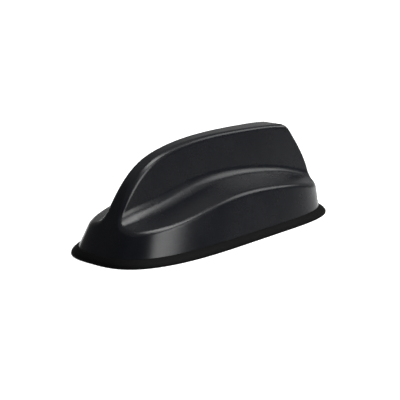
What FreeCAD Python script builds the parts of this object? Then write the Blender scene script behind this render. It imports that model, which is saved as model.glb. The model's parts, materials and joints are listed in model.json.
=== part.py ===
import FreeCAD, Part
import math
import os

# Shark-fin vehicle roof antenna: a moulded radome on a rubber foot, with its base plate,
# boards and radiating elements inside.
# Millimetres. +X points to the nose, +Y to the left, +Z up. The origin is the middle of the
# foot's flat underside, which lies on the roof at z = 0.

# Overall size
FOOT_LENGTH = 165.0
FOOT_WIDTH = 70.0

# Foot
FLANGE = 3.4            # how far the foot stands out past the radome's wall
FOOT_RIM_Z = 3.9        # where the wall leaves the foot
FOOT_WEB = 1.6          # rubber under the radome's edge and the base plate
# Lip's section: height, and how far it stands out past the foot of the wall
FOOT_PROFILE = [(0.0, 2.9), (0.4, FLANGE), (1.1, 3.3), (2.1, 2.7), (3.1, 1.5), (FOOT_RIM_Z, 0.2)]

# Plan of the radome's wall: superellipse ends, each with its length and power
NOSE_ROUND = 78.0
NOSE_POWER = 3.0
REAR_ROUND = 58.0
REAR_POWER = 3.4
NOSE_LEAN = math.radians(29.5)
SIDE_LEAN = math.radians(13.0)
REAR_LEAN = math.radians(2.5)
WALL = 2.5              # shell thickness
PLAN_POINTS = 36        # points of one half of a plan outline

# Fin: (x, z) stations of the crest, from in front of the nose to behind the fin's rear face
CREST = [(80.0, 1.8), (71.3, 17.3), (63.5, 29.0), (51.7, 40.7), (32.0, 48.6), (6.0, 51.6),
         (-27.0, 51.6), (-59.5, 49.9), (-68.0, 49.1)]
FIN_FRONT_X = CREST[1][0]
FIN_REAR_X = CREST[-2][0]
CREST_POINTS = 25
FIN_FRONT_Y = 4.6       # half width of the crest at its front
FIN_WAIST_Y = 3.7       # its control value in the middle
FIN_REAR_Y = 8.3        # half width at its rear corner
FIN_SPREAD = math.radians(9.0)    # how much a fin side leans out, going down
FIN_SIDE_RAKE = math.radians(31.0)  # lean of the sides' straight lines at the rear
TAIL = [(4.0, -80.5), (18.7, -78.3), (33.7, -72.0), (49.9, -60.9), (58.0, -54.5)]  # rear face: (z, x)
TAIL_POINTS = 9
FORM_BOTTOM_Z = -12.0   # below the foot, where the fin's and the shoulders' solids may end
WALL_TOP = 55.0         # above the crest, where the leaning wall's solid may end

# Shoulder surfaces: (x, z) stations of the ridge line where they would meet inside the fin,
# and (x, fall for each mm outwards)
RIDGE = [(90.0, 13.2), (71.3, 18.9), (58.0, 22.1), (42.0, 25.4), (26.0, 28.9), (10.0, 31.5),
         (-10.0, 32.5), (-31.0, 31.5), (-56.0, 28.7), (-77.0, 25.3), (-90.0, 22.0)]
FALL = [(90.0, 0.27), (42.0, 0.27), (8.0, 0.295), (-31.0, 0.325), (-56.0, 0.37), (-69.0, 0.46),
        (-90.0, 0.58)]
SHOULDER_POINTS = 40

# Base plate and what stands on it
PLATE_THICK = 3.0
PLATE_GAP = 0.4         # to the radome's inner wall
PLATE_TOP = FOOT_WEB + PLATE_THICK
SEAL_Z = (2.3, 3.9)
SEAL_DEPTH = 1.8

# Screws that hold the radome, from below
RADOME_SCREW_XY = [(67.5, 0.0), (20.0, 24.3), (20.0, -24.3), (-30.0, 24.3), (-30.0, -24.3), (-71.0, 0.0)]
RADOME_BOSS_R = 3.2
RADOME_SCREW_R = 1.5
RADOME_SCREW_HEAD_R = 2.8
RADOME_SCREW_TOP = 13.0
RADOME_HEAD_Z = (1.8, 3.4)
HOLE_PLAY = 0.2         # a clearance hole's radius over what passes through it

# Threaded inserts for the roof fixings
INSERT_XY = [(48.0, 0.0), (-48.0, 0.0)]
INSERT_BORE_R = 2.5
INSERT_R = 3.6
INSERT_LENGTH = 6.4
INSERT_BOSS_R = 5.6
INSERT_BOSS_TOP = 8.6
INSERT_CLEAR = 0.8      # rubber kept clear of the insert's end

# Cable gland, its nut and its grommet
GLAND_X = -28.0
GLAND_R = 8.0
GLAND_BORE_R = 6.4
GLAND_FLANGE_R = 9.4
GLAND_Z = (0.4, 10.6)
GLAND_NUT_FLATS = 19.0
GLAND_NUT_HEIGHT = 3.2
GROMMET_Z = (1.0, 7.0)

# Boards
BOARD_THICK = 1.6
BOARD_CLEAR = 1.0
COPPER = 0.3
MAIN_BOARD_Z = 9.0
MAIN_BOARD_TOP = MAIN_BOARD_Z + BOARD_THICK
MAIN_BOARD_X = (-8.0, 62.5)
MAIN_SCREW_XY = [(-3.5, 19.5), (-3.5, -19.5), (33.0, 19.0), (33.0, -19.0)]
FRONT_BOARD_X = (-1.0, 33.0)
FRONT_BOARD_Z = (12.2, 44.0)
REAR_BOARD_X = (-56.0, -12.0)
REAR_BOARD_Z = (17.0, 45.5)

# Front radiator: a flared plate on a feed stem, with one slot. Distances are from the board's ends
FRONT_STEM_HALF = 1.5
FRONT_MARGIN = 2.0
FRONT_PLATE_Z = (15.5, 27.0, 42.4)      # stem's foot, end of the flare, top
FRONT_SLOT_Z = (35.0, 37.0)
FRONT_SLOT_X = (FRONT_BOARD_X[0] + 20.0, FRONT_BOARD_X[1] - 5.0)

# Rear radiator: (x, z) ranges of its bars, with x from the rear board's rear end
REAR_BARS = [((2, 42), (36, 43)), ((28, 31), (19.5, 38)), ((20, 22), (19.5, 38)),
             ((2, 5), (24, 38)), ((5, 12), (24, 27))]

# Small screws
SCREW_BOSS_R = 3.0
SMALL_SCREW_R = 1.1
SMALL_SCREW_GRIP = 3.5
SMALL_HEAD_R = 2.1
SMALL_HEAD_H = 1.3

# Board clips
RAIL_HALF = 3.0
RAIL_END = 1.0          # how far a rail reaches past its board
FRONT_CLIP_FOOT = (3.0, 9.0)    # half length, half width
FRONT_RAIL_TOP = 14.8
FRONT_FOOT_TOP = 12.2
FRONT_CLIP_X = (1.0, 31.0)
FRONT_CLIP_SCREW_XY = [(x, y) for x in FRONT_CLIP_X for y in (-6.5, 6.5)]
REAR_RAIL_Z = (15.8, 19.4)
REAR_FOOT_TOP = 7.0
REAR_LEG_HALF = 2.0
REAR_LEG_FOOT = 8.0     # how far the leg's foot reaches back
PORTAL_X = -19.5
PORTAL_HALF = 1.5
PORTAL_Y = (13.0, 16.0)
PORTAL_FOOT = (3.0, 6.0)    # half length, reach past the portal's leg
REAR_CLIP_SCREW_XY = [(-61.0, 0.0), (PORTAL_X, 19.2), (PORTAL_X, -19.2)]
REAR_SCREW_END = FOOT_WEB + 0.6

# GNSS patch and receiver
PATCH_X = 47.5
PATCH_SIDE = 25.0
TAPE_SIDE = 23.0
ELECTRODE_SIDE = 20.0
TAPE_Z = (MAIN_BOARD_TOP, MAIN_BOARD_TOP + 0.5)
PATCH_Z = (TAPE_Z[1], TAPE_Z[1] + 4.0)
PIN_R = 0.6
PIN_STUB = 0.3          # soldered end below the board
CAN_X = (8.0, 26.0)
CAN_Y = (-15.0, -5.0)
CAN_TOP = MAIN_BOARD_TOP + 3.2
CAN_WALL = 0.3
CHIP_INSET = (5.0, 2.5)     # from the can's sides, along x and y
CHIP_Z = (MAIN_BOARD_TOP, MAIN_BOARD_TOP + 1.0)

# Wi-Fi elements
WIFI_X = (3.0, 15.0)
WIFI_Y = 17.0
WIFI_SHEET = 0.5
WIFI_TOP = 20.0
WIFI_FLANGE = 3.0
WIFI_SLOT_X = (7.0, 9.0)
WIFI_SLOT_FOOT = MAIN_BOARD_TOP + 2.0

# Leads, their jacks and their clamp
LEAD_R = 0.9
LEAD_Z = MAIN_BOARD_TOP + 1.6
JACK_X = (-8.5, -4.0)
JACK_HALF = 1.9
JACK_BARREL = (1.4, 1.5)    # radius, length
JACK_OVERLAP = 0.5      # of the barrel in the block
JACK_TOP = LEAD_Z + 1.7
JACK_Y = [6.0 * i for i in (-2, -1, 0, 1, 2)]
LEAD_Y = [2.3 * i for i in (-2, -1, 0, 1, 2)]
LEAD_STRAIGHT = 3.0     # straight run out of the jack
LEAD_GATHER = 9.0       # distance before the gland where the leads are side by side
BEND_SHARE = 0.45       # share of the shorter run that a bend takes
CLAMP_X = -14.0
CLAMP_Y = 14.6
CLAMP_THICK = 1.2
CLAMP_HALF = 1.8
CLAMP_END = 2.5
CLAMP_SCREW_XY = [(CLAMP_X, CLAMP_Y), (CLAMP_X, -CLAMP_Y)]
CLAMP_POST_R = 2.2
CLAMP_SEAT = LEAD_Z + LEAD_R

# Vent, ground spring and foam
VENT_XY = (-55.0, 15.0)
VENT_R = 3.5
VENT_CAP = (4.7, 1.4)   # radius, height
SPRING_X = (9.0, 15.0)
SPRING_Y = (-3.0, 3.0)
SPRING_SHEET = 0.3
FOAM_X = (-50.0, -20.0)
FOAM_HALF = 2.4

UP = FreeCAD.Vector(0, 0, 1)


def point(x, y, z):
    return FreeCAD.Vector(x, y, z)


def box(x, y, z):
    """A box from three (low, high) pairs."""
    corner = point(x[0], y[0], z[0])
    return Part.makeBox(x[1] - x[0], y[1] - y[0], z[1] - z[0], corner)


def cylinder(x, y, radius, z_low, z_high):
    return Part.makeCylinder(radius, z_high - z_low, point(x, y, z_low), UP)


def group(solids):
    return Part.makeCompound(solids)


def natural_spline(stations):
    """Smooth function through (x, value) stations, with free ends."""
    stations = sorted(stations)
    xs = [x for x, value in stations]
    values = [value for x, value in stations]
    last = len(xs) - 1
    gaps = [xs[i + 1] - xs[i] for i in range(last)]
    slopes = [(values[i + 1] - values[i]) / gaps[i] for i in range(last)]
    bends = [0.0] * (last + 1)
    factors = [0.0] * (last + 1)
    for i in range(1, last):
        pivot = 2 * (gaps[i - 1] + gaps[i]) - gaps[i - 1] * factors[i - 1]
        factors[i] = gaps[i] / pivot
        bends[i] = (6 * (slopes[i] - slopes[i - 1]) - gaps[i - 1] * bends[i - 1]) / pivot
    for i in range(last - 1, 0, -1):
        bends[i] -= factors[i] * bends[i + 1]

    def value_at(x):
        i = min(max(sum(1 for knot in xs if knot <= x) - 1, 0), last - 1)
        left = x - xs[i]
        right = xs[i + 1] - x
        cubic = (bends[i] * right ** 3 + bends[i + 1] * left ** 3) / (6 * gaps[i])
        low = values[i] / gaps[i] - bends[i] * gaps[i] / 6
        high = values[i + 1] / gaps[i] - bends[i + 1] * gaps[i] / 6
        return cubic + low * right + high * left

    return value_at


crest_height = natural_spline(CREST)
ridge_height = natural_spline(RIDGE)
fall_at = natural_spline(FALL)
tail_x = natural_spline(TAIL)


def rounded(u, power):
    """Height of a superellipse's quarter at u, from 0 at its end to 1 where it is full."""
    u = min(max(u, 0.0), 1.0)
    return (1.0 - (1.0 - u) ** power) ** (1.0 / power)


def wall_ends(z, inset=0.0):
    """The wall's x at the nose and at the rear, at height z."""
    rise = z - FOOT_RIM_Z
    nose = FOOT_LENGTH / 2 - FLANGE - inset - rise * math.tan(NOSE_LEAN)
    rear = -FOOT_LENGTH / 2 + FLANGE + inset + rise * math.tan(REAR_LEAN)
    return nose, rear


def half_width(x, z, inset=0.0):
    """The wall's y at x and height z."""
    nose, rear = wall_ends(z, inset)
    half = FOOT_WIDTH / 2 - FLANGE - inset - (z - FOOT_RIM_Z) * math.tan(SIDE_LEAN)
    return half * rounded((nose - x) / NOSE_ROUND, NOSE_POWER) * rounded((x - rear) / REAR_ROUND, REAR_POWER)


def outline(z, inset=0.0):
    """Closed plan wire of the wall at height z, moved in by inset."""
    nose, rear = wall_ends(z, inset)
    turns = [math.pi * i / PLAN_POINTS for i in range(1, PLAN_POINTS)]
    xs = [nose - (nose - rear) * (1.0 - math.cos(turn)) / 2 for turn in turns]
    left = [point(x, half_width(x, z, inset), z) for x in xs]
    right = [point(p.x, -p.y, z) for p in reversed(left)]
    curve = Part.BSplineCurve()
    curve.interpolate(Points=[point(nose, 0, z)] + left + [point(rear, 0, z)] + right, PeriodicFlag=True)
    return Part.Wire(curve.toShape())


def walled(z_low, z_high, inset=0.0):
    """Solid inside the leaning wall between two heights."""
    return Part.makeLoft([outline(z_low, inset), outline(z_high, inset)], True, True)


def spline_edge(points):
    curve = Part.BSplineCurve()
    curve.interpolate(Points=points)
    return curve.toShape()


def stretch(start, end, count):
    """Evenly spaced values from start to end."""
    return [start + (end - start) * i / (count - 1) for i in range(count)]


def fin_section(x, inset):
    """Crest point and foot point of the fin's left side, for the crest at x."""
    progress = (FIN_FRONT_X - x) / (FIN_FRONT_X - FIN_REAR_X)
    t = max(0.0, progress)
    half = FIN_FRONT_Y * (1 - t) ** 2 + 2 * FIN_WAIST_Y * t * (1 - t) + FIN_REAR_Y * t ** 2 - inset
    height = crest_height(x) - inset
    drop = height - FORM_BOTTOM_Z
    back = t ** 3 * drop * math.tan(FIN_SIDE_RAKE)
    return (x, half, height), (x - back, half + drop * math.tan(FIN_SPREAD), FORM_BOTTOM_Z)


def behind_tail(inset):
    """Everything behind the fin's curved rear face."""
    reach = FOOT_LENGTH
    line = [point(tail_x(z) + inset, -reach, z) for z in stretch(TAIL[0][0], TAIL[-1][0], TAIL_POINTS)]
    corners = [line[-1], point(-reach, -reach, line[-1].z), point(-reach, -reach, line[0].z), line[0]]
    sides = [Part.makeLine(corners[i], corners[i + 1]) for i in range(3)]
    return Part.Face(Part.Wire([spline_edge(line)] + sides)).extrude(point(0, 2 * reach, 0))


def fin(inset=0.0):
    """The upright fin: two ruled sides, a crest strip, a curved rear face and a flat bottom."""
    sections = [fin_section(x, inset) for x in stretch(CREST[0][0], CREST[-1][0], CREST_POINTS)]
    top = [crest for crest, foot in sections]
    foot = [foot for crest, foot in sections]
    edges = {}
    for side in (1, -1):
        edges["top", side] = spline_edge([point(x, side * y, z) for x, y, z in top])
        edges["foot", side] = spline_edge([point(x, side * y, z) for x, y, z in foot])
    pairs = [(("top", 1), ("foot", 1)), (("top", -1), ("foot", -1))]
    pairs += [(("top", 1), ("top", -1)), (("foot", 1), ("foot", -1))]
    faces = [Part.makeRuledSurface(edges[first], edges[second]) for first, second in pairs]
    for end in (0, -1):
        corners = [point(*top[end]), point(*foot[end])]
        corners += [point(p.x, -p.y, p.z) for p in reversed(corners)]
        faces.append(Part.Face(Part.makePolygon(corners + corners[:1])))
    shell = Part.makeShell([face for shape in faces for face in shape.Faces])
    shell.sewShape()
    solid = Part.makeSolid(shell)
    if solid.Volume < 0:
        solid.reverse()
    return solid.cut(behind_tail(inset))


def shoulders(inset=0.0):
    """Everything below the two shoulder surfaces, wide enough to be trimmed by the wall."""
    reach = FOOT_WIDTH / 2
    halves = []
    for side in (1, -1):
        sections = []
        for y in (0.0, reach):
            line = []
            for x in stretch(RIDGE[0][0], RIDGE[-1][0], SHOULDER_POINTS):
                line.append(point(x, side * y, ridge_height(x) - y * fall_at(x) - inset))
            below = [point(x, side * y, FORM_BOTTOM_Z) for x in (line[-1].x, line[0].x)]
            corners = [line[-1]] + below + [line[0]]
            sides = [Part.makeLine(corners[i], corners[i + 1]) for i in range(3)]
            sections.append(Part.Wire([spline_edge(line)] + sides))
        halves.append(Part.makeLoft(sections, True, True))
    return halves[0].fuse(halves[1])


def radome_form(inset=0.0):
    """Solid radome shape down to the foot's web, its faces moved in by inset."""
    top = fin(inset).fuse(shoulders(inset))
    return walled(FOOT_WEB, WALL_TOP, inset).common(top)


def at_points(places, radius, z_low, z_high):
    """One upright cylinder at each place."""
    return [cylinder(x, y, radius, z_low, z_high) for x, y in places]


def mirrored_y(solid):
    return solid.mirror(point(0, 0, 0), point(0, 1, 0))


def radome():
    """Moulded shell, open below, with a screw boss inside at each screw."""
    outer = radome_form()
    shell = outer.cut(radome_form(WALL))
    bosses = [boss.common(outer) for boss in at_points(RADOME_SCREW_XY, RADOME_BOSS_R, PLATE_TOP, WALL_TOP)]
    pilots = at_points(RADOME_SCREW_XY, RADOME_SCREW_R, FOOT_WEB, RADOME_SCREW_TOP)
    return shell.fuse(bosses).cut(pilots)


def foot_gasket():
    """Rubber foot: a rounded lip all round and a web under the whole base."""
    sections = []
    for z, outset in FOOT_PROFILE:
        wire = outline(FOOT_RIM_Z, -outset)
        wire.translate(point(0, 0, z - FOOT_RIM_Z))
        sections.append(wire)
    body = Part.makeLoft(sections, True, False)
    holes = at_points(RADOME_SCREW_XY, RADOME_SCREW_HEAD_R + 2 * HOLE_PLAY, 0, FOOT_WEB)
    holes += at_points(INSERT_XY, INSERT_R + INSERT_CLEAR, 0, FOOT_WEB)
    holes.append(cylinder(GLAND_X, 0, GLAND_FLANGE_R + HOLE_PLAY, 0, FOOT_WEB))
    holes.append(cylinder(*VENT_XY, VENT_R, 0, FOOT_WEB))
    return body.cut([walled(FOOT_WEB, WALL_TOP)] + holes)


def seal_ring():
    """Space of the seal, from the radome's inner wall into the base plate's edge."""
    slab = box((-FOOT_LENGTH, FOOT_LENGTH), (-FOOT_WIDTH, FOOT_WIDTH), SEAL_Z)
    return walled(FOOT_WEB, WALL_TOP, WALL).common(slab).cut(walled(*SEAL_Z, WALL + SEAL_DEPTH))


def base_plate():
    """Cast plate with an edge groove for the seal, and bosses for all that stands on it."""
    plate = walled(FOOT_WEB, PLATE_TOP, WALL + PLATE_GAP).cut(seal_ring())
    bosses = at_points(INSERT_XY, INSERT_BOSS_R, PLATE_TOP, INSERT_BOSS_TOP)
    bosses += at_points(MAIN_SCREW_XY, SCREW_BOSS_R, PLATE_TOP, MAIN_BOARD_Z)
    bosses += at_points(CLAMP_SCREW_XY, CLAMP_POST_R, PLATE_TOP, CLAMP_SEAT)
    holes = at_points(INSERT_XY, INSERT_R, FOOT_WEB, FOOT_WEB + INSERT_LENGTH)
    holes += at_points(RADOME_SCREW_XY, RADOME_SCREW_R + HOLE_PLAY, FOOT_WEB, PLATE_TOP)
    holes += at_points(RADOME_SCREW_XY, RADOME_SCREW_HEAD_R + HOLE_PLAY, FOOT_WEB, RADOME_HEAD_Z[1])
    holes += at_points(MAIN_SCREW_XY, SMALL_SCREW_R, MAIN_BOARD_Z - SMALL_SCREW_GRIP, MAIN_BOARD_Z)
    holes += at_points(CLAMP_SCREW_XY, SMALL_SCREW_R, CLAMP_SEAT - SMALL_SCREW_GRIP, CLAMP_SEAT)
    holes += at_points(REAR_CLIP_SCREW_XY, SMALL_SCREW_R, REAR_SCREW_END, PLATE_TOP)
    holes.append(cylinder(GLAND_X, 0, GLAND_R, FOOT_WEB, PLATE_TOP))
    holes.append(cylinder(*VENT_XY, VENT_R, FOOT_WEB, PLATE_TOP))
    return plate.fuse(bosses).cut(holes)


def screws(places, radius, shank, head_radius, head):
    """One screw at each place. shank and head are (low, high) heights that meet."""
    solids = []
    for x, y in places:
        solids.append(cylinder(x, y, radius, *shank).fuse(cylinder(x, y, head_radius, *head)))
    return group(solids)


def small_screws(places, seat, grip):
    """Board screws whose heads sit on seat and whose shanks reach grip below it."""
    return screws(places, SMALL_SCREW_R, (seat - grip, seat), SMALL_HEAD_R, (seat, seat + SMALL_HEAD_H))


def mount_inserts():
    solids = []
    for x, y in INSERT_XY:
        sleeve = cylinder(x, y, INSERT_R, FOOT_WEB, FOOT_WEB + INSERT_LENGTH)
        solids.append(sleeve.cut(cylinder(x, y, INSERT_BORE_R, FOOT_WEB, FOOT_WEB + INSERT_LENGTH)))
    return group(solids)


def cable_gland():
    """Hollow sleeve through the base with a flange below, in the foot."""
    sleeve = cylinder(GLAND_X, 0, GLAND_R, GLAND_Z[0], GLAND_Z[1])
    flange = cylinder(GLAND_X, 0, GLAND_FLANGE_R, GLAND_Z[0], FOOT_WEB)
    return sleeve.fuse(flange).cut(cylinder(GLAND_X, 0, GLAND_BORE_R, *GLAND_Z))


def gland_nut():
    corner = GLAND_NUT_FLATS / math.sqrt(3)
    turns = [math.radians(60 * i) for i in range(7)]
    corners = [point(GLAND_X + corner * math.cos(a), corner * math.sin(a), PLATE_TOP) for a in turns]
    nut = Part.Face(Part.makePolygon(corners)).extrude(UP * GLAND_NUT_HEIGHT)
    return nut.cut(cylinder(GLAND_X, 0, GLAND_R, PLATE_TOP, PLATE_TOP + GLAND_NUT_HEIGHT))


def cable_grommet():
    plug = cylinder(GLAND_X, 0, GLAND_BORE_R, *GROMMET_Z)
    return plug.cut(at_points([(GLAND_X, y) for y in LEAD_Y], LEAD_R, *GROMMET_Z))


def main_board():
    """Horizontal board that follows the wall, with notches for the radome's bosses."""
    board = walled(MAIN_BOARD_Z, MAIN_BOARD_TOP, WALL + BOARD_CLEAR)
    board = board.common(box(MAIN_BOARD_X, (-FOOT_WIDTH, FOOT_WIDTH), (MAIN_BOARD_Z, MAIN_BOARD_TOP)))
    holes = at_points(RADOME_SCREW_XY, RADOME_BOSS_R + BOARD_CLEAR, MAIN_BOARD_Z, MAIN_BOARD_TOP)
    holes += at_points(MAIN_SCREW_XY + FRONT_CLIP_SCREW_XY, SMALL_SCREW_R, MAIN_BOARD_Z, MAIN_BOARD_TOP)
    holes.append(cylinder(PATCH_X, 0, PIN_R, MAIN_BOARD_Z, MAIN_BOARD_TOP))
    return board.cut(holes)


def square_plate(side, z):
    """A square plate centred on the patch."""
    return box((PATCH_X - side / 2, PATCH_X + side / 2), (-side / 2, side / 2), z)


def with_pin_hole(plate, z):
    return plate.cut(cylinder(PATCH_X, 0, PIN_R, *z))


def shield_can():
    outer = box(CAN_X, CAN_Y, (MAIN_BOARD_TOP, CAN_TOP))
    inside = [(low + CAN_WALL, high - CAN_WALL) for low, high in (CAN_X, CAN_Y)]
    return outer.cut(box(*inside, (MAIN_BOARD_TOP, CAN_TOP - CAN_WALL)))


def receiver_chip():
    length_inset, width_inset = CHIP_INSET
    return box((CAN_X[0] + length_inset, CAN_X[1] - length_inset),
               (CAN_Y[0] + width_inset, CAN_Y[1] - width_inset), CHIP_Z)


def upright_board(x, z):
    return box(x, (-BOARD_THICK / 2, BOARD_THICK / 2), z)


def copper(x, z):
    """A patch of copper on the left face of an upright board."""
    return box(x, (BOARD_THICK / 2, BOARD_THICK / 2 + COPPER), z)


def front_radiator():
    """Broad flared plate with a feed stem and one slot."""
    low, high = FRONT_BOARD_X
    middle = (low + high) / 2
    foot, wide, top = FRONT_PLATE_Z
    reach = middle - low - FRONT_MARGIN
    half_plate = [(FRONT_STEM_HALF, foot), (reach, wide), (reach, top)]
    flare = [(middle + x, z) for x, z in half_plate]
    flare += [(middle - x, z) for x, z in reversed(half_plate)]
    corners = [point(x, BOARD_THICK / 2, z) for x, z in flare]
    plate = Part.Face(Part.makePolygon(corners + corners[:1])).extrude(point(0, COPPER, 0))
    return plate.cut(copper(FRONT_SLOT_X, FRONT_SLOT_Z))


def rear_radiator():
    """Top-loaded strip: a feed stem, a shorting stem, a folded arm and a top bar."""
    rear_end = REAR_BOARD_X[0]
    bars = [copper((rear_end + x[0], rear_end + x[1]), z) for x, z in REAR_BARS]
    return bars[0].fuse(bars[1:])


def front_board_clip():
    """Moulded rail with four screwed feet that holds the front board on the main board."""
    low, high = FRONT_BOARD_X
    rail_z = (MAIN_BOARD_TOP, FRONT_RAIL_TOP)
    rail = box((low - RAIL_END, high + RAIL_END), (-RAIL_HALF, RAIL_HALF), rail_z)
    foot_z = (MAIN_BOARD_TOP, FRONT_FOOT_TOP)
    length, width = FRONT_CLIP_FOOT
    feet = [box((x - length, x + length), (-width, width), foot_z) for x in FRONT_CLIP_X]
    slot = upright_board(FRONT_BOARD_X, (FRONT_BOARD_Z[0], FRONT_RAIL_TOP))
    holes = at_points(FRONT_CLIP_SCREW_XY, SMALL_SCREW_R, *foot_z)
    return rail.fuse(feet).cut([slot] + holes)


def rear_board_clip():
    """Moulded rail above the gland, on a rear leg and a portal that straddles the leads."""
    low, high = REAR_BOARD_X
    rail_y = (-RAIL_HALF, RAIL_HALF)
    leg_z = (PLATE_TOP, REAR_RAIL_Z[0])
    foot_z = (PLATE_TOP, REAR_FOOT_TOP)
    rail = box((low - REAR_LEG_HALF, high + RAIL_END), rail_y, REAR_RAIL_Z)
    parts = [box((low - REAR_LEG_HALF, low + REAR_LEG_HALF), rail_y, leg_z)]
    parts.append(box((low - REAR_LEG_FOOT, low + REAR_LEG_HALF), rail_y, foot_z))
    portal_x = (PORTAL_X - PORTAL_HALF, PORTAL_X + PORTAL_HALF)
    parts.append(box(portal_x, (-PORTAL_Y[1], PORTAL_Y[1]), REAR_RAIL_Z))
    foot_x = (PORTAL_X - PORTAL_FOOT[0], PORTAL_X + PORTAL_FOOT[0])
    foot_y = (PORTAL_Y[0], PORTAL_Y[1] + PORTAL_FOOT[1])
    for part in (box(portal_x, PORTAL_Y, leg_z), box(foot_x, foot_y, foot_z)):
        parts += [part, mirrored_y(part)]
    slot = upright_board(REAR_BOARD_X, (REAR_BOARD_Z[0], REAR_RAIL_Z[1]))
    holes = at_points(REAR_CLIP_SCREW_XY, SMALL_SCREW_R, *foot_z)
    return rail.fuse(parts).cut([slot] + holes)


def wifi_element():
    """Left element: a flange on the board and an upright leaf with a slot."""
    leaf_y = (WIFI_Y, WIFI_Y + WIFI_SHEET)
    flange = box(WIFI_X, (WIFI_Y, WIFI_Y + WIFI_FLANGE), (MAIN_BOARD_TOP, MAIN_BOARD_TOP + WIFI_SHEET))
    leaf = box(WIFI_X, leaf_y, (MAIN_BOARD_TOP, WIFI_TOP))
    return flange.fuse(leaf).cut(box(WIFI_SLOT_X, leaf_y, (WIFI_SLOT_FOOT, WIFI_TOP)))


def coax_jacks():
    """Board-edge sockets: a block with a short barrel that points to the rear."""
    solids = []
    radius, length = JACK_BARREL
    block_x = (JACK_X[0] + length - JACK_OVERLAP, JACK_X[1])
    for y in JACK_Y:
        block = box(block_x, (y - JACK_HALF, y + JACK_HALF), (MAIN_BOARD_TOP, JACK_TOP))
        barrel = Part.makeCylinder(radius, length, point(JACK_X[0], y, LEAD_Z), point(1, 0, 0))
        solids.append(block.fuse(barrel))
    return group(solids)


def rounded_path(points):
    """Wire of straight runs joined by tangent arcs."""
    edges = []
    start = points[0]
    for i in range(1, len(points) - 1):
        before = points[i - 1] - points[i]
        after = points[i + 1] - points[i]
        cut_back = BEND_SHARE * min(before.Length, after.Length)
        before.normalize()
        after.normalize()
        arc_start = points[i] + before * cut_back
        arc_end = points[i] + after * cut_back
        half_turn = (math.pi - before.getAngle(after)) / 2
        radius = cut_back / math.tan(half_turn)
        centre_way = before + after
        centre_way.normalize()
        middle = points[i] + centre_way * (radius / math.cos(half_turn) - radius)
        edges.append(Part.LineSegment(start, arc_start).toShape())
        edges.append(Part.Arc(arc_start, middle, arc_end).toShape())
        start = arc_end
    edges.append(Part.LineSegment(start, points[-1]).toShape())
    return Part.Wire(edges)


def lead(jack_y, hole_y):
    """Coaxial lead from its jack, under the clamp and down through the grommet."""
    route = [point(JACK_X[0], jack_y, LEAD_Z), point(JACK_X[0] - LEAD_STRAIGHT, jack_y, LEAD_Z),
             point(GLAND_X + LEAD_GATHER, hole_y, LEAD_Z), point(GLAND_X, hole_y, LEAD_Z),
             point(GLAND_X, hole_y, GROMMET_Z[0])]
    if jack_y == hole_y:
        route = [route[0]] + route[3:]
    path = rounded_path(route)
    section = Part.Wire(Part.makeCircle(LEAD_R, route[0], point(-1, 0, 0)))
    return path.makePipeShell([section], True, False)


def lead_clamp():
    """Flat metal bridge over the leads."""
    z = (CLAMP_SEAT, CLAMP_SEAT + CLAMP_THICK)
    end = CLAMP_Y + CLAMP_END
    bridge = box((CLAMP_X - CLAMP_HALF, CLAMP_X + CLAMP_HALF), (-end, end), z)
    return bridge.cut(at_points(CLAMP_SCREW_XY, SMALL_SCREW_R, *z))


def vent_plug():
    radius, height = VENT_CAP
    barrel = cylinder(*VENT_XY, VENT_R, FOOT_WEB, PLATE_TOP)
    return barrel.fuse(cylinder(*VENT_XY, radius, PLATE_TOP, PLATE_TOP + height))


def ground_spring():
    """C-shaped strip between the base plate and the main board's underside."""
    whole = box(SPRING_X, SPRING_Y, (PLATE_TOP, MAIN_BOARD_Z))
    opening = box((SPRING_X[0], SPRING_X[1] - SPRING_SHEET), SPRING_Y,
                  (PLATE_TOP + SPRING_SHEET, MAIN_BOARD_Z - SPRING_SHEET))
    return whole.cut(opening)


def foam_strip():
    """Foam between the rear board's top edge and the inside of the crest."""
    return radome_form(WALL).common(box(FOAM_X, (-FOAM_HALF, FOAM_HALF), (REAR_BOARD_Z[1], WALL_TOP)))


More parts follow.
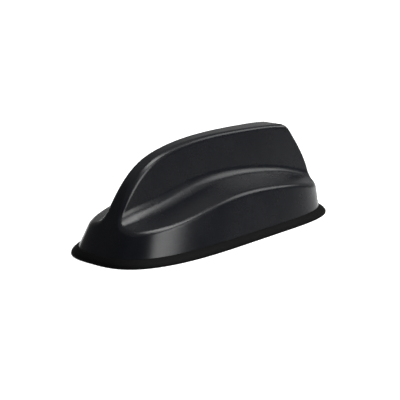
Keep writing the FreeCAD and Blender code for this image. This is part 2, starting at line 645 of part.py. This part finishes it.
def pieces():
    """Every sub-part's node name and shape."""
    electrode_z = (PATCH_Z[1], PATCH_Z[1] + COPPER)
    wifi_left = wifi_element()
    shapes = {
        "radome": radome(),
        "foot_gasket": foot_gasket(),
        "base_plate": base_plate(),
        "radome_seal": seal_ring(),
        "radome_screws": screws(RADOME_SCREW_XY, RADOME_SCREW_R, (RADOME_HEAD_Z[1], RADOME_SCREW_TOP),
                                RADOME_SCREW_HEAD_R, RADOME_HEAD_Z),
        "mount_inserts": mount_inserts(),
        "cable_gland": cable_gland(),
        "gland_nut": gland_nut(),
        "cable_grommet": cable_grommet(),
        "main_board": main_board(),
        "main_board_screws": small_screws(MAIN_SCREW_XY, MAIN_BOARD_TOP, BOARD_THICK + SMALL_SCREW_GRIP),
        "patch_tape": with_pin_hole(square_plate(TAPE_SIDE, TAPE_Z), TAPE_Z),
        "gnss_patch": with_pin_hole(square_plate(PATCH_SIDE, PATCH_Z), PATCH_Z),
        "patch_electrode": with_pin_hole(square_plate(ELECTRODE_SIDE, electrode_z), electrode_z),
        "patch_feed_pin": cylinder(PATCH_X, 0, PIN_R, MAIN_BOARD_Z - PIN_STUB, electrode_z[1]),
        "shield_can": shield_can(),
        "receiver_chip": receiver_chip(),
        "front_element_board": upright_board(FRONT_BOARD_X, FRONT_BOARD_Z),
        "front_radiator": front_radiator(),
        "rear_element_board": upright_board(REAR_BOARD_X, REAR_BOARD_Z),
        "rear_radiator": rear_radiator(),
        "front_board_clip": front_board_clip(),
        "rear_board_clip": rear_board_clip(),
        "front_clip_screws": small_screws(FRONT_CLIP_SCREW_XY, FRONT_FOOT_TOP,
                                          FRONT_FOOT_TOP - MAIN_BOARD_Z),
        "rear_clip_screws": small_screws(REAR_CLIP_SCREW_XY, REAR_FOOT_TOP,
                                         REAR_FOOT_TOP - REAR_SCREW_END),
        "wifi_element_left": wifi_left,
        "wifi_element_right": mirrored_y(wifi_left),
        "coax_jacks": coax_jacks(),
        "lead_clamp": lead_clamp(),
        "lead_clamp_screws": small_screws(CLAMP_SCREW_XY, CLAMP_SEAT + CLAMP_THICK,
                                          CLAMP_THICK + SMALL_SCREW_GRIP),
        "vent_plug": vent_plug(),
        "ground_spring": ground_spring(),
        "foam_strip": foam_strip(),
    }
    for number, (jack_y, hole_y) in enumerate(zip(JACK_Y, LEAD_Y), start=1):
        shapes["lead_%d" % number] = lead(jack_y, hole_y)
    return shapes


def main():
    os.makedirs("parts", exist_ok=True)
    for name, shape in pieces().items():
        if not shape.isValid() or not shape.Solids:
            raise RuntimeError(name + " is not a valid solid")
        shape.exportStep(os.path.join("parts", name + ".step"))
        print(name, len(shape.Solids), round(shape.Volume, 1))


if __name__ == "__main__":
    main()
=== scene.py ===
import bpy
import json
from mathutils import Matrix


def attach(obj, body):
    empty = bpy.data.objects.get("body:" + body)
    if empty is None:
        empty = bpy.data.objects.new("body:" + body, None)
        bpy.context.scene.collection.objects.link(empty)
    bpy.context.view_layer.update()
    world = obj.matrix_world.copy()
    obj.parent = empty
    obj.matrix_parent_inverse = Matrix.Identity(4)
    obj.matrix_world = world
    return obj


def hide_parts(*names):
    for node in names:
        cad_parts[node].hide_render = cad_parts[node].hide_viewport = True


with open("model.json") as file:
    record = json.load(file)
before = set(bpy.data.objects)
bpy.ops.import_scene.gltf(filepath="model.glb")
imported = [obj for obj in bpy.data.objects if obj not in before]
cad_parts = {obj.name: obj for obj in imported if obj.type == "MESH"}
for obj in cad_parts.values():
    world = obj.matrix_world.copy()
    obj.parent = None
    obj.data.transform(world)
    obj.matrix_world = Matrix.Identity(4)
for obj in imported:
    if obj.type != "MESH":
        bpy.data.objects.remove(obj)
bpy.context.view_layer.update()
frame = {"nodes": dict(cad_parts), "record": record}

import json
import math

import bpy
import numpy as np
from mathutils import Matrix, Vector

# Shark-fin roof antenna: the radome is rebuilt with rounded edges from one smooth field, and
# every node gets its own material.
# Shapes are worked out in millimetres and scaled to metres when a mesh is made.
MM = 0.001

# Radome, the same dimensions as the CAD part
FOOT_LENGTH, FOOT_WIDTH, FLANGE = 165.0, 70.0, 3.4
RIM_Z, WEB_Z, WALL = 3.9, 1.6, 2.5
NOSE_ROUND, NOSE_POWER, NOSE_LEAN = 78.0, 3.0, math.radians(29.5)
REAR_ROUND, REAR_POWER, REAR_LEAN = 58.0, 3.4, math.radians(2.5)
SIDE_LEAN = math.radians(13.0)
CREST = [(80.0, 1.8), (71.3, 17.3), (63.5, 29.0), (51.7, 40.7), (32.0, 48.6), (6.0, 51.6),
         (-27.0, 51.6), (-59.5, 49.9), (-68.0, 49.1)]
FIN_FRONT_X, FIN_REAR_X = 71.3, -59.5
TAIL = [(4.0, -80.5), (18.7, -78.3), (33.7, -72.0), (49.9, -60.9), (58.0, -54.5)]
FIN_FRONT_Y, FIN_WAIST_Y, FIN_REAR_Y = 4.6, 3.7, 8.3
FIN_SPREAD, SIDE_RAKE = math.radians(9.0), math.radians(31.0)
RIDGE = [(90.0, 13.2), (71.3, 18.9), (58.0, 22.1), (42.0, 25.4), (26.0, 28.9), (10.0, 31.5),
         (-10.0, 32.5), (-31.0, 31.5), (-56.0, 28.7), (-77.0, 25.3), (-90.0, 22.0)]
FALL = [(90.0, 0.27), (42.0, 0.27), (8.0, 0.295), (-31.0, 0.325), (-56.0, 0.37), (-69.0, 0.46),
        (-90.0, 0.58)]
SCREWS = [(67.5, 0.0), (20.0, 24.3), (20.0, -24.3), (-30.0, 24.3), (-30.0, -24.3), (-71.0, 0.0)]
BOSS_R, PILOT_R, BOSS_FOOT_Z, PILOT_TOP_Z = 3.2, 1.5, 4.6, 13.0

# Edge rounding: radii, and the places along X where they hold. The crest's edge, the V-shaped
# tip in front and the shoulder's edge are one continuous rim
CREST_EDGE_X = (-66.0, -48.0, 71.0)
CREST_EDGE = (3.4, 1.8, 2.8)
SHOULDER_EDGE = 1.5
RIM_Z_RANGE = (19.0, 31.0)      # where the radius changes from the shoulder's to the crest's
ROOT_EDGE_X = (-80.0, -40.0, 20.0, 60.0, 72.0)
ROOT_EDGE = (2.2, 3.0, 4.4, 5.0, 3.6)
TAIL_EDGE = 2.2
RIDGE_EDGE = 3.5                # behind the fin, where the two shoulders meet
NOSE_BLEND = 3.0                # between the crest strip and the nose wall

# Meshing of the field
GRID = 0.85                     # spacing of the samples
MESH_LOW = (-81.0, -33.5, WEB_Z - 1.2 * GRID)
MESH_HIGH = (82.0, 33.5, 55.0)
PROJECTIONS = 4                 # steps that bring a vertex onto the surface
LONGEST_MOVE = 0.5 * GRID       # of one step
SLOPE_STEP = 0.05
LEAST_SLOPE = 0.012             # of wall_level, far inside the plan's ends
LEAST_SLOPE_SQUARED = 0.05      # of the whole field, in its edges' creases
CREST_FOOT_STEPS = 5
LEAST_TURN = 0.3                # keeps a crest_foot step from running away


def natural_spline(stations):
    """Smooth function through (x, value) stations, straight beyond its ends."""
    xs, values = np.array(sorted(stations)).T
    gaps = np.diff(xs)
    slopes = np.diff(values) / gaps
    count = len(xs)
    system = np.eye(count)
    bends = np.zeros(count)
    for i in range(1, count - 1):
        system[i, i - 1:i + 2] = gaps[i - 1], 2 * (gaps[i - 1] + gaps[i]), gaps[i]
        bends[i] = 6 * (slopes[i] - slopes[i - 1])
    bends = np.linalg.solve(system, bends)

    def inside(x):
        i = np.clip(np.searchsorted(xs, x, side="right") - 1, 0, count - 2)
        left, right, gap = x - xs[i], xs[i + 1] - x, gaps[i]
        low = values[i] / gap - bends[i] * gap / 6
        high = values[i + 1] / gap - bends[i + 1] * gap / 6
        cubic = (bends[i] * right ** 3 + bends[i + 1] * left ** 3) / (6 * gap)
        value = cubic + low * right + high * left
        slope = (bends[i + 1] * left ** 2 - bends[i] * right ** 2) / (2 * gap) + high - low
        return value, slope

    def value_and_slope(x):
        held = np.clip(x, xs[0], xs[-1])
        value, slope = inside(held)
        return value + slope * (x - held), slope

    return value_and_slope


crest_at = natural_spline(CREST)
ridge_at = natural_spline(RIDGE)
fall_at = natural_spline(FALL)
tail_at = natural_spline(TAIL)


def round_max(a, b, radius):
    """Meeting of two solids, with its convex edge rounded."""
    corner = np.hypot(np.maximum(a + radius, 0), np.maximum(b + radius, 0))
    return np.minimum(-radius, np.maximum(a, b)) + corner


def round_min(a, b, radius):
    """Union of two solids, with its concave edge rounded."""
    return -round_max(-a, -b, radius)


def wall_ends(z):
    rise = z - RIM_Z
    nose = FOOT_LENGTH / 2 - FLANGE - rise * math.tan(NOSE_LEAN)
    rear = -FOOT_LENGTH / 2 + FLANGE + rise * math.tan(REAR_LEAN)
    return nose, rear


def wall_level(x, y, z):
    """Below 0 inside the leaning wall's plan, in no unit."""
    nose, rear = wall_ends(z)
    half = FOOT_WIDTH / 2 - FLANGE - (z - RIM_Z) * math.tan(SIDE_LEAN)
    across = np.abs(y) / half
    front = np.maximum(1.0 - (nose - x) / NOSE_ROUND, 0.0)
    back = np.maximum(1.0 - (x - rear) / REAR_ROUND, 0.0)
    nose_side = (across ** NOSE_POWER + front ** NOSE_POWER) ** (1 / NOSE_POWER)
    rear_side = (across ** REAR_POWER + back ** REAR_POWER) ** (1 / REAR_POWER)
    return np.where(front > 0, nose_side, rear_side) - 1.0


def slope_of(field, x, y, z):
    """Central differences of a field."""
    slopes = []
    for dx, dy, dz in SLOPE_STEP * np.eye(3):
        rise = field(x + dx, y + dy, z + dz) - field(x - dx, y - dy, z - dz)
        slopes.append(rise / (2 * SLOPE_STEP))
    return slopes


def wall(x, y, z):
    """Distance outside the leaning wall."""
    gx, gy, gz = slope_of(wall_level, x, y, z)
    return wall_level(x, y, z) / np.maximum(np.sqrt(gx ** 2 + gy ** 2 + gz ** 2), LEAST_SLOPE)


def crest_foot(x, z):
    """The crest's x from which the fin side's straight line runs down through (x, z)."""
    rake = math.tan(SIDE_RAKE)
    length = FIN_FRONT_X - FIN_REAR_X
    top = x
    for _ in range(CREST_FOOT_STEPS):
        t = np.maximum((FIN_FRONT_X - top) / length, 0.0)
        height, slope = crest_at(top)
        drop = height - z
        miss = top - t ** 3 * drop * rake - x
        turn = 1 + 3 * t ** 2 / length * drop * rake - t ** 3 * slope * rake
        top = top - miss / np.maximum(turn, LEAST_TURN)
    return top


def crest(x, z):
    """Distance above the crest."""
    height, slope = crest_at(x)
    return (z - height) / np.sqrt(1 + slope ** 2)


def fin(x, y, z):
    """Distance outside the fin's sides and its curved rear face."""
    top = crest_foot(x, z)
    t = np.maximum((FIN_FRONT_X - top) / (FIN_FRONT_X - FIN_REAR_X), 0.0)
    at_crest = FIN_FRONT_Y * (1 - t) ** 2 + 2 * FIN_WAIST_Y * t * (1 - t) + FIN_REAR_Y * t ** 2
    half = at_crest + (crest_at(top)[0] - z) * math.tan(FIN_SPREAD)
    side = (np.abs(y) - half) * math.cos(FIN_SPREAD)
    rear, lean = tail_at(z)
    tail = (rear - x) / np.sqrt(1 + lean ** 2)
    return round_max(side, tail, TAIL_EDGE)


def shoulder(x, y, z):
    """Distance above the two shoulder surfaces."""
    fall = fall_at(x)[0]
    return (z - ridge_at(x)[0] + np.hypot(y, RIDGE_EDGE) * fall) / np.sqrt(1 + fall ** 2)


def body(x, y, z):
    """The radome's outer form, below 0 inside."""
    envelope = round_max(crest(x, z), wall(x, y, z), NOSE_BLEND)
    root = np.interp(x, ROOT_EDGE_X, ROOT_EDGE)
    inside_recess = round_min(fin(x, y, z), shoulder(x, y, z), root)
    crest_share = np.interp(z, RIM_Z_RANGE, (0.0, 1.0))
    rim = SHOULDER_EDGE + (np.interp(x, CREST_EDGE_X, CREST_EDGE) - SHOULDER_EDGE) * crest_share
    return round_max(inside_recess, envelope, rim)


def shell(x, y, z):
    """The moulded shell, with its screw bosses."""
    outer = body(x, y, z)
    solid = np.maximum(outer, -(outer + WALL))
    for bx, by in SCREWS:
        radius = np.hypot(x - bx, y - by)
        boss = np.maximum(np.maximum(radius - BOSS_R, outer + WALL / 2), BOSS_FOOT_Z - z)
        pilot = np.maximum(radius - PILOT_R, z - PILOT_TOP_Z)
        solid = np.maximum(np.minimum(solid, boss), -pilot)
    return np.maximum(solid, WEB_Z - z)


def crossings(values, axis):
    """Sample edges along an axis that cross the surface: their starts and both end values."""
    start = [slice(None)] * 3
    stop = [slice(None)] * 3
    start[axis] = slice(None, -1)
    stop[axis] = slice(1, None)
    first = values[tuple(start)]
    second = values[tuple(stop)]
    crossed = (first < 0) != (second < 0)
    for other in range(3):
        if other != axis:
            border = [slice(None)] * 3
            border[other] = [0, -1]
            crossed[tuple(border)] = False
    return np.argwhere(crossed), first[crossed], second[crossed]


def cells_around(index, axis, cells):
    """The four cells that share each edge, in turn around it, as flat numbers."""
    others = [i for i in range(3) if i != axis]
    around = []
    for shift in ((-1, -1), (0, -1), (0, 0), (-1, 0)):
        cell = index.copy()
        cell[:, others] += shift
        around.append(np.ravel_multi_index(cell.T, cells))
    return around


def net_of(field, low, high, step):
    """Vertices and quads of a field's zero surface, by surface nets."""
    counts = [int(math.ceil((b - a) / step)) + 1 for a, b in zip(low, high)]
    axes = [a + step * np.arange(n) for a, n in zip(low, counts)]
    values = field(*np.meshgrid(*axes, indexing="ij"))
    cells = np.array(counts) - 1
    total = np.zeros((cells.prod(), 3))
    hits = np.zeros(cells.prod())
    quads = []
    for axis in range(3):
        index, first, second = crossings(values, axis)
        place = index.astype(float)
        place[:, axis] += first / (first - second)
        around = cells_around(index, axis, cells)
        for flat in around:
            for i in range(3):
                total[:, i] += np.bincount(flat, place[:, i], len(total))
            hits += np.bincount(flat, minlength=len(hits))
        corners = np.stack(around, 1)
        flip = (first < 0) == (axis == 1)
        corners[flip] = corners[flip, ::-1]
        quads.append(corners)
    used = np.flatnonzero(hits)
    number = np.full(len(hits), -1)
    number[used] = np.arange(len(used))
    points = total[used] / hits[used, None] * step + np.array(low)
    return points, number[np.concatenate(quads)]


def on_surface(field, points):
    """Points moved onto the field's zero surface, and the surface's normals there."""
    for _ in range(PROJECTIONS):
        slope = np.stack(slope_of(field, *points.T), 1)
        size = np.maximum((slope ** 2).sum(1), LEAST_SLOPE_SQUARED)
        move = (field(*points.T) / size)[:, None] * slope
        excess = np.maximum(np.linalg.norm(move, axis=1) / LONGEST_MOVE, 1.0)
        points = points - move / excess[:, None]
    slope = np.stack(slope_of(field, *points.T), 1)
    return points, slope / np.linalg.norm(slope, axis=1)[:, None]


def new_object(name, points, faces, smooth=True):
    """A mesh object from points in millimetres and faces of one length."""
    mesh = bpy.data.meshes.new(name)
    mesh.from_pydata((np.asarray(points) * MM).tolist(), [], np.asarray(faces).tolist())
    mesh.validate()
    mesh.polygons.foreach_set("use_smooth", [smooth] * len(mesh.polygons))
    item = bpy.data.objects.new(name, mesh)
    bpy.context.scene.collection.objects.link(item)
    return item


def build_radome():
    points, quads = net_of(shell, MESH_LOW, MESH_HIGH, GRID)
    points, normals = on_surface(shell, points)
    radome = new_object("moulded_radome", points, quads)
    radome.data.normals_split_custom_set_from_vertices(normals.tolist())
    return radome


radome = build_radome()
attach(radome, "root")
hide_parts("radome")


# Materials ------------------------------------------------------------------------------

class Shader:
    """A principled material with helpers for its texture nodes, all in object coordinates."""

    def __init__(self, name):
        self.material = bpy.data.materials.new(name)
        self.material.use_nodes = True
        self.tree = self.material.node_tree
        self.surface = self.tree.nodes["Principled BSDF"]
        self.where = self.add("ShaderNodeTexCoord").outputs["Object"]

    def add(self, kind, **inputs):
        node = self.tree.nodes.new(kind)
        for key, value in inputs.items():
            node.inputs[key.replace("_", " ")].default_value = value
        return node

    def link(self, source, target):
        self.tree.links.new(source, target)

    def scaled(self, stretch):
        node = self.add("ShaderNodeMapping", Scale=stretch)
        self.link(self.where, node.inputs["Vector"])
        return node.outputs["Vector"]

    def noise(self, size_mm, detail=2.0, stretch=(1, 1, 1)):
        """Cloudy noise of about this size. A stretch under 1 draws it out along its axis."""
        node = self.add("ShaderNodeTexNoise", Scale=1000.0 / size_mm, Detail=detail)
        self.link(self.scaled(stretch), node.inputs["Vector"])
        return node.outputs["Fac"]

    def cells(self, size_mm, stretch=(1, 1, 1)):
        node = self.add("ShaderNodeTexVoronoi", Scale=1000.0 / size_mm)
        self.link(self.scaled(stretch), node.inputs["Vector"])
        return node.outputs["Distance"]

    def ramp(self, value, low, high, between=(0.3, 0.7)):
        """The value's range between, mapped to low and high and held beyond."""
        node = self.add("ShaderNodeMapRange", From_Min=between[0], From_Max=between[1],
                        To_Min=low, To_Max=high)
        self.link(value, node.inputs["Value"])
        return node.outputs["Result"]

    def blend(self, share, first, second):
        """A mix of two colours, each one a tuple or another node's output."""
        node = self.tree.nodes.new("ShaderNodeMix")
        node.data_type = "RGBA"
        self.link(share, node.inputs["Factor"])
        sockets = [socket for socket in node.inputs if socket.type == "RGBA"]
        for socket, colour in zip(sockets, (first, second)):
            if isinstance(colour, tuple):
                socket.default_value = (*colour, 1.0)
            else:
                self.link(colour, socket)
        return [socket for socket in node.outputs if socket.type == "RGBA"][0]

    def bump(self, height, depth_mm):
        node = self.add("ShaderNodeBump", Strength=1.0, Distance=depth_mm * MM)
        self.link(height, node.inputs["Height"])
        self.link(node.outputs["Normal"], self.surface.inputs["Normal"])

    def finish(self, colour, roughness, metallic=0.0, specular=0.5):
        self.link(colour, self.surface.inputs["Base Color"])
        self.link(roughness, self.surface.inputs["Roughness"])
        self.surface.inputs["Metallic"].default_value = metallic
        self.surface.inputs["Specular IOR Level"].default_value = specular
        return self.material


def moulded(name, dark, light, rough, grain_mm, depth_mm, specular=0.5):
    """Moulded plastic or rubber: fine grain, faint cloudy change of colour and gloss."""
    shader = Shader(name)
    cloud = shader.noise(14.0, 3.0)
    colour = shader.blend(shader.ramp(cloud, 0.0, 1.0), dark, light)
    shader.bump(shader.noise(grain_mm, 2.0), depth_mm)
    return shader.finish(colour, shader.ramp(cloud, *rough), 0.0, specular)


def metal(name, dark, light, rough, grain_mm, depth_mm, stretch=(1, 1, 1)):
    """Metal with its surface grain, long where it was drawn or turned, and dull patches."""
    shader = Shader(name)
    grain = shader.noise(grain_mm, 4.0, stretch)
    patches = shader.noise(6.0, 3.0)
    colour = shader.blend(shader.ramp(patches, 0.0, 1.0), dark, light)
    shader.bump(grain, depth_mm)
    return shader.finish(colour, shader.ramp(grain, *rough), 1.0)


def circuit_board():
    """Green solder mask, lighter over the copper tracks, with small tinned pads."""
    shader = Shader("circuit_board")
    tracks = shader.ramp(shader.cells(3.2, (1.0, 0.35, 1.0)), 0.0, 1.0, (0.42, 0.50))
    pads = shader.ramp(shader.cells(2.4), 1.0, 0.0, (0.07, 0.10))
    mask = shader.blend(tracks, (0.012, 0.11, 0.045), (0.03, 0.20, 0.085))
    colour = shader.blend(pads, mask, (0.55, 0.50, 0.38))
    shader.bump(tracks, 0.03)
    return shader.finish(colour, shader.ramp(shader.noise(1.5), 0.28, 0.42))


def grey_foam():
    """Open-cell foam: pores sunk by the bump and painted darker as their shade, between lighter
    walls.
    """
    shader = Shader("grey_foam")
    pores_and_their_shade = shader.ramp(shader.cells(0.7), 0.0, 1.0, (0.15, 0.55))
    # painted shade: the pores' darker colour stands in for the shade inside the hollows
    colour = shader.blend(pores_and_their_shade, (0.05, 0.05, 0.055), (0.17, 0.17, 0.18))
    shader.bump(pores_and_their_shade, 0.25)
    return shader.finish(colour, shader.ramp(pores_and_their_shade, 0.85, 1.0), 0.0, 0.2)


def patch_ceramic():
    """Fired ceramic with fine dark specks."""
    shader = Shader("patch_ceramic")
    specks = shader.ramp(shader.noise(0.3, 3.0), 0.0, 1.0, (0.62, 0.70))
    colour = shader.blend(specks, (0.62, 0.56, 0.46), (0.34, 0.30, 0.25))
    shader.bump(shader.noise(0.15, 2.0), 0.02)
    return shader.finish(colour, shader.ramp(shader.noise(4.0), 0.55, 0.75))


def moulded_finishes():
    """Each moulded slot: two colours, roughness range, grain, its depth, specular level."""
    table = {
        "radome_plastic": ((0.0008, 0.0010, 0.0017), (0.0012, 0.0014, 0.0022),
                           (0.25, 0.29), 0.30, 0.001, 0.10),
        "foot_rubber": ((0.0007, 0.0007, 0.0007), (0.0013, 0.0013, 0.0013),
                        (0.55, 0.65), 0.4, 0.004, 0.02),
        "seal_rubber": ((0.20, 0.045, 0.03), (0.27, 0.07, 0.045), (0.5, 0.62), 0.5, 0.01, 0.3),
        "grommet_rubber": ((0.02, 0.02, 0.02), (0.035, 0.035, 0.034), (0.6, 0.75), 0.4, 0.02, 0.3),
        "chip_resin": ((0.022, 0.022, 0.023), (0.034, 0.034, 0.034), (0.5, 0.65), 0.12, 0.01, 0.4),
        "white_nylon": ((0.68, 0.67, 0.62), (0.78, 0.77, 0.73), (0.38, 0.5), 0.5, 0.01),
        "black_nylon": ((0.028, 0.028, 0.028), (0.045, 0.045, 0.045), (0.4, 0.52), 0.4, 0.01),
        "lead_jacket": ((0.30, 0.15, 0.07), (0.42, 0.23, 0.12), (0.25, 0.38), 1.2, 0.01),
        "acrylic_tape": ((0.52, 0.50, 0.42), (0.64, 0.62, 0.54), (0.6, 0.8), 0.8, 0.03, 0.3),
    }
    return {slot: moulded(slot, *values) for slot, values in table.items()}


def metal_finishes():
    """Each metal slot: two colours, roughness range, grain, its depth, the grain's stretch."""
    table = {
        "cast_aluminium": ((0.50, 0.51, 0.52), (0.64, 0.65, 0.66), (0.42, 0.6), 0.35, 0.05),
        "zinc_steel": ((0.56, 0.58, 0.60), (0.70, 0.70, 0.68), (0.25, 0.4), 0.5, 0.01),
        "tinned_steel": ((0.66, 0.66, 0.64), (0.76, 0.76, 0.74), (0.3, 0.45), 0.6, 0.01,
                         (0.1, 1, 1)),
        "bare_brass": ((0.66, 0.47, 0.19), (0.80, 0.62, 0.30), (0.22, 0.36), 0.5, 0.015, (1, 1, 6)),
        "copper_foil": ((0.72, 0.34, 0.19), (0.83, 0.45, 0.28), (0.25, 0.4), 0.7, 0.01,
                        (0.2, 1, 1)),
        "silver_print": ((0.70, 0.70, 0.67), (0.84, 0.84, 0.82), (0.4, 0.55), 0.25, 0.02),
        "gold_plate": ((0.78, 0.56, 0.20), (0.88, 0.68, 0.30), (0.18, 0.3), 0.4, 0.008, (6, 1, 1)),
    }
    return {slot: metal(slot, *values) for slot, values in table.items()}


materials = {**moulded_finishes(), **metal_finishes()}
materials["circuit_board"] = circuit_board()
materials["patch_ceramic"] = patch_ceramic()
materials["grey_foam"] = grey_foam()
slots = {entry["node"]: entry["material_slot"] for entry in frame["record"]["subparts"]}
for name, node in frame["nodes"].items():
    node.data.materials.clear()
    node.data.materials.append(materials[slots[name]])
radome.data.materials.append(materials["radome_plastic"])

# Floor, light and camera ----------------------------------------------------------------

FLOOR_HALF = 6000.0
FLOOR_DARK, FLOOR_LIGHT = (0.30, 0.30, 0.30), (0.33, 0.33, 0.33)
FLOOR_GLOW = 0.84
WORLD_GLOW = 0.38
WHITE = (1.0, 1.0, 1.0, 1.0)
LIGHT_AIM = Vector((0.0, 0.0, 0.02))
# Each softbox: name, place and size in metres, power in watts
SOFTBOXES = [
    ("rear_softbox", (-0.84, 0.36, 0.66), (0.42, 0.42), 5.0),
    ("side_softbox", (-0.13, 0.98, 0.46), (0.54, 0.45), 17.0),
    ("front_softbox", (-0.20, 0.41, 1.00), (0.40, 0.66), 24.0),
]
CEILING_POWER, CEILING_SPREAD = 1.0, math.radians(90)

# Camera: turned from the left side's square view, tilted down, millimetres
TURN, TILT = math.radians(49.22), math.radians(13.88)
DISTANCE = 585.6
OFFSET_RIGHT, OFFSET_UP = -2.292, 15.74
SENSOR, LENS = 36.0, 99.1468
FAR_CLIP = 30.0


def placed(name, data):
    """A new object in the scene for a light or a camera."""
    item = bpy.data.objects.new(name, data)
    bpy.context.scene.collection.objects.link(item)
    return item


def add_floor():
    corners = [(x * FLOOR_HALF, y * FLOOR_HALF, 0) for x, y in ((-1, -1), (1, -1), (1, 1), (-1, 1))]
    floor = new_object("floor", corners, [(0, 1, 2, 3)], False)
    shader = Shader("floor_paper")
    colour = shader.blend(shader.noise(60.0), FLOOR_DARK, FLOOR_LIGHT)
    roughness = shader.ramp(shader.noise(30.0), 0.9, 1.0)
    floor.data.materials.append(shader.finish(colour, roughness, 0.0, 0.0))
    shader.surface.inputs["Emission Color"].default_value = WHITE
    shader.surface.inputs["Emission Strength"].default_value = FLOOR_GLOW


def add_world():
    world = bpy.data.worlds.new("studio")
    bpy.context.scene.world = world
    world.use_nodes = True
    background = world.node_tree.nodes["Background"]
    background.inputs["Color"].default_value = WHITE
    background.inputs["Strength"].default_value = WORLD_GLOW


def add_softbox(name, place, size, power):
    data = bpy.data.lights.new(name, "AREA")
    data.shape = "RECTANGLE"
    data.size, data.size_y = size
    data.energy = power
    lamp = placed(name, data)
    lamp.location = place
    lamp.rotation_euler = (LIGHT_AIM - Vector(place)).to_track_quat("-Z", "Y").to_euler()


def add_ceiling():
    """Soft light from above that leaves no highlight."""
    data = bpy.data.lights.new("ceiling", "SUN")
    data.energy = CEILING_POWER
    data.angle = CEILING_SPREAD
    data.specular_factor = 0.0
    placed("ceiling", data)


def add_camera():
    level = Vector((-math.sin(TURN), -math.cos(TURN), 0))
    forward = level * math.cos(TILT) - Vector((0, 0, math.sin(TILT)))
    upward = level * math.sin(TILT) + Vector((0, 0, math.cos(TILT)))
    rightward = forward.cross(upward)
    data = bpy.data.cameras.new("camera")
    data.sensor_width = SENSOR
    data.lens = LENS
    data.clip_end = FAR_CLIP
    camera = placed("camera", data)
    place = (-forward * DISTANCE + rightward * OFFSET_RIGHT + upward * OFFSET_UP) * MM
    turned = Matrix((rightward, upward, -forward)).transposed().to_4x4()
    camera.matrix_world = Matrix.Translation(place) @ turned
    bpy.context.scene.camera = camera


add_floor()
add_world()
for softbox in SOFTBOXES:
    add_softbox(*softbox)
add_camera()
add_ceiling()
bpy.context.scene.view_settings.view_transform = "Standard"
